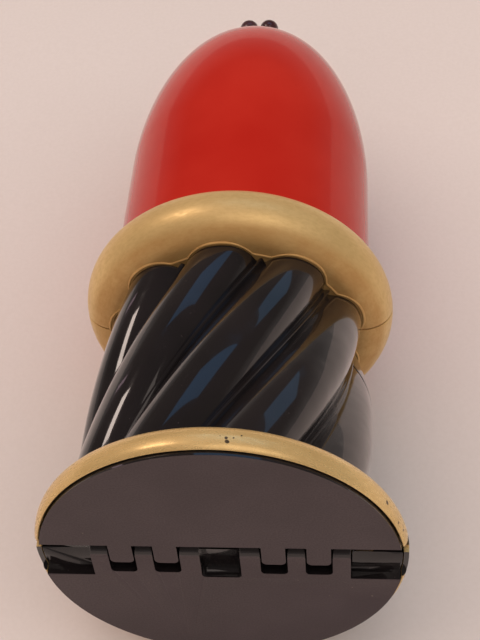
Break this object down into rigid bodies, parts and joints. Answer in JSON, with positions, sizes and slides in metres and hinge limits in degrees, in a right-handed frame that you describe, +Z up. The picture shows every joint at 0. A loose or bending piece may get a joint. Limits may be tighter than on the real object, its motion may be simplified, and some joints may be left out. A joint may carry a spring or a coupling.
{
  "type": "lipstick-shaped hinged case",
  "caption": "Hard clamshell case in the shape of a giant lipstick: red dome, gold collar, twisted black fluted body, gold base rim, knuckle hinge in the base and ball clasp at the tip.",
  "frame": {"origin": "on the floor under the middle of the closed case's box, the case lying on its back on its rim and collar", "axes": "+X to the right seen from the base end, along the hinge; +Y from the base to the tip of the dome, along the case; +Z up through the front half, which is the lid. The case's own axis dips 1.64 degrees below +Y, because the collar is smaller than the rim."},
  "size_m": [0.0974, 0.2354, 0.0971],
  "materials": {
    "red_lacquer": "high gloss red lacquer over carved wood",
    "gold_leaf": "satin gilding over carved wood, browner in the creases",
    "black_lacquer": "high gloss black lacquer over carved wood",
    "matte_base": "matte taupe paint with a thin glossy black edge",
    "pin_steel": "plain steel",
    "stem_brass": "polished brass",
    "dark_bead": "glossy very dark brown",
    "lining_satin": "glued satin lining"
  },
  "bodies": {
    "back_half": {"back_dome": "red_lacquer", "back_collar": "gold_leaf", "back_fluted_body": "black_lacquer", "back_rim": "gold_leaf", "back_base_plate": "matte_base", "back_lining": "lining_satin", "back_clasp_stem": "stem_brass", "back_clasp_ball": "dark_bead", "back_clasp_screw_left": "pin_steel", "back_clasp_screw_right": "pin_steel", "hinge_pin_left": "pin_steel", "hinge_pin_right": "pin_steel"},
    "front_half": {"front_dome": "red_lacquer", "front_collar": "gold_leaf", "front_fluted_body": "black_lacquer", "front_rim": "gold_leaf", "front_base_plate": "matte_base", "front_lining": "lining_satin", "front_clasp_stem": "stem_brass", "front_clasp_ball": "dark_bead", "front_clasp_screw_left": "pin_steel", "front_clasp_screw_right": "pin_steel"}
  },
  "joints": [
    {"name": "lid_hinge", "type": "hinge", "parent": "back_half", "child": "front_half", "pos_m": [0, -0.11174, 0.05067], "axis": [1, 0, 0], "range_deg": [0, 95]}
  ]
}
